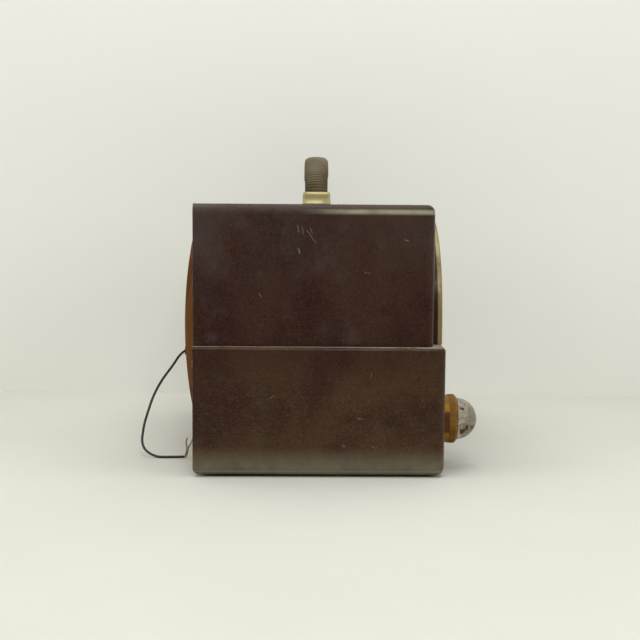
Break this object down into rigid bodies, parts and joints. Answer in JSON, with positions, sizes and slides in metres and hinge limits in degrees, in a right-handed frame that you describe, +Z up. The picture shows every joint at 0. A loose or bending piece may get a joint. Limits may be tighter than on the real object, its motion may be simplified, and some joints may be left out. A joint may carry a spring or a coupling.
{
  "type": "table radio",
  "caption": "Mains valve table radio: two-stage moulded cabinet, arched dial over a speaker grille, domed control knobs, ribbed carry handle and bowed fibre back.",
  "frame": {"origin": "on the table under the middle of the box round everything but the aerial lead", "axes": "+X to the right seen from the front, +Y to the back (the dial faces -Y), +Z up"},
  "size_m": [0.33, 0.3149, 0.2853],
  "materials": {
    "aluminium_part": "bare aluminium",
    "brass_part": "turned brass",
    "cabinet_moulding": "dark reddish brown moulded phenolic, worn gloss",
    "clear_window": "clear plastic, slightly yellowed",
    "coil_paper": "waxed paper winding",
    "cord_fibre": "woven dial cord",
    "core_iron": "black varnished laminations",
    "dial_print": "printed brown dial card, matt",
    "dome_clear": "clear domed plastic, scuffed",
    "ferrule_metal": "dull brass-coloured metal",
    "foot_rubber": "dull black rubber",
    "gilt_trim": "aged gold-coloured metal, satin",
    "grip_vinyl": "ribbed taupe-brown flexible vinyl",
    "knob_amber": "amber plastic, finely toothed edge",
    "knob_hub": "dark brown plastic",
    "knob_yellow": "translucent yellow plastic",
    "lead_sheath": "dark green-black lead covering",
    "magnet_steel": "grey painted steel",
    "pointer_paint": "cream painted pointer",
    "pressed_board": "orange-brown pressed fibre board",
    "raw_board": "plain chipboard",
    "socket_plastic": "brown moulded sockets",
    "speaker_cloth": "woven brown and gold speaker cloth",
    "speaker_paper": "dark pressed paper",
    "steel_plate": "zinc plated steel",
    "steel_rod": "turned steel",
    "strand_copper": "bare tarnished copper strands",
    "valve_glass": "clear valve glass, silvered top"
  },
  "bodies": {
    "cabinet": {"aerial_lead": "lead_sheath", "baffle_board": "raw_board", "baffle_screws": "steel_plate", "cabinet_screws": "steel_plate", "capacitor_frame": "steel_plate", "chassis": "steel_plate", "chassis_screws": "steel_plate", "dial_lamp": "valve_glass", "dial_plate": "dial_print", "dial_trim": "gilt_trim", "dial_window": "clear_window", "drive_cord": "cord_fibre", "feet": "foot_rubber", "grille_cloth": "speaker_cloth", "grille_ring": "gilt_trim", "handle_ferrule_left": "ferrule_metal", "handle_ferrule_right": "ferrule_metal", "handle_grip": "grip_vinyl", "handle_screws": "steel_plate", "handle_strap": "steel_plate", "if_can_first": "aluminium_part", "if_can_second": "aluminium_part", "lamp_holder": "steel_plate", "lead_grommet": "foot_rubber", "lead_strands": "strand_copper", "loop_aerial": "coil_paper", "lower_cabinet": "cabinet_moulding", "mains_inlet": "socket_plastic", "output_coil": "coil_paper", "output_core": "core_iron", "rear_cover": "pressed_board", "rear_cover_screws": "steel_plate", "smoothing_capacitor": "aluminium_part", "speaker_basket": "steel_plate", "speaker_cone": "speaker_paper", "speaker_magnet": "magnet_steel", "stator_vanes": "aluminium_part", "tuning_bush": "brass_part", "upper_cabinet": "cabinet_moulding", "valve_converter": "valve_glass", "valve_detector": "valve_glass", "valve_if_amplifier": "valve_glass", "valve_output": "valve_glass", "valve_rectifier": "valve_glass", "valve_sockets": "socket_plastic", "volume_control": "aluminium_part"},
    "volume_knob": {"volume_hub": "knob_hub", "volume_skirt": "knob_amber", "volume_insert": "knob_yellow", "volume_dome": "dome_clear", "volume_shaft": "steel_rod"},
    "tuning_knob": {"tuning_hub": "knob_hub", "tuning_skirt": "knob_amber", "tuning_insert": "knob_yellow", "tuning_dome": "dome_clear", "tuning_spindle": "steel_rod"},
    "dial_drive": {"dial_drum": "socket_plastic", "dial_pointer": "pointer_paint", "rotor_shaft": "steel_rod", "rotor_vanes": "aluminium_part"}
  },
  "joints": [
    {"name": "volume_turn", "type": "hinge", "parent": "cabinet", "child": "volume_knob", "pos_m": [-0.118, -0.11, 0.0454], "axis": [0, 1, 0], "range_deg": [0, 300]},
    {"name": "tuning_turn", "type": "hinge", "parent": "cabinet", "child": "tuning_knob", "pos_m": [0.118, -0.11, 0.0454], "axis": [0, 1, 0], "range_deg": [-765, 765]},
    {"name": "dial_turn", "type": "hinge", "parent": "cabinet", "child": "dial_drive", "pos_m": [0, 0, 0.124], "axis": [0, 1, 0], "range_deg": [-85, 85]}
  ],
  "couplings": [
    {"joint": "dial_turn", "follows": "tuning_turn", "ratio": 0.11111}
  ]
}
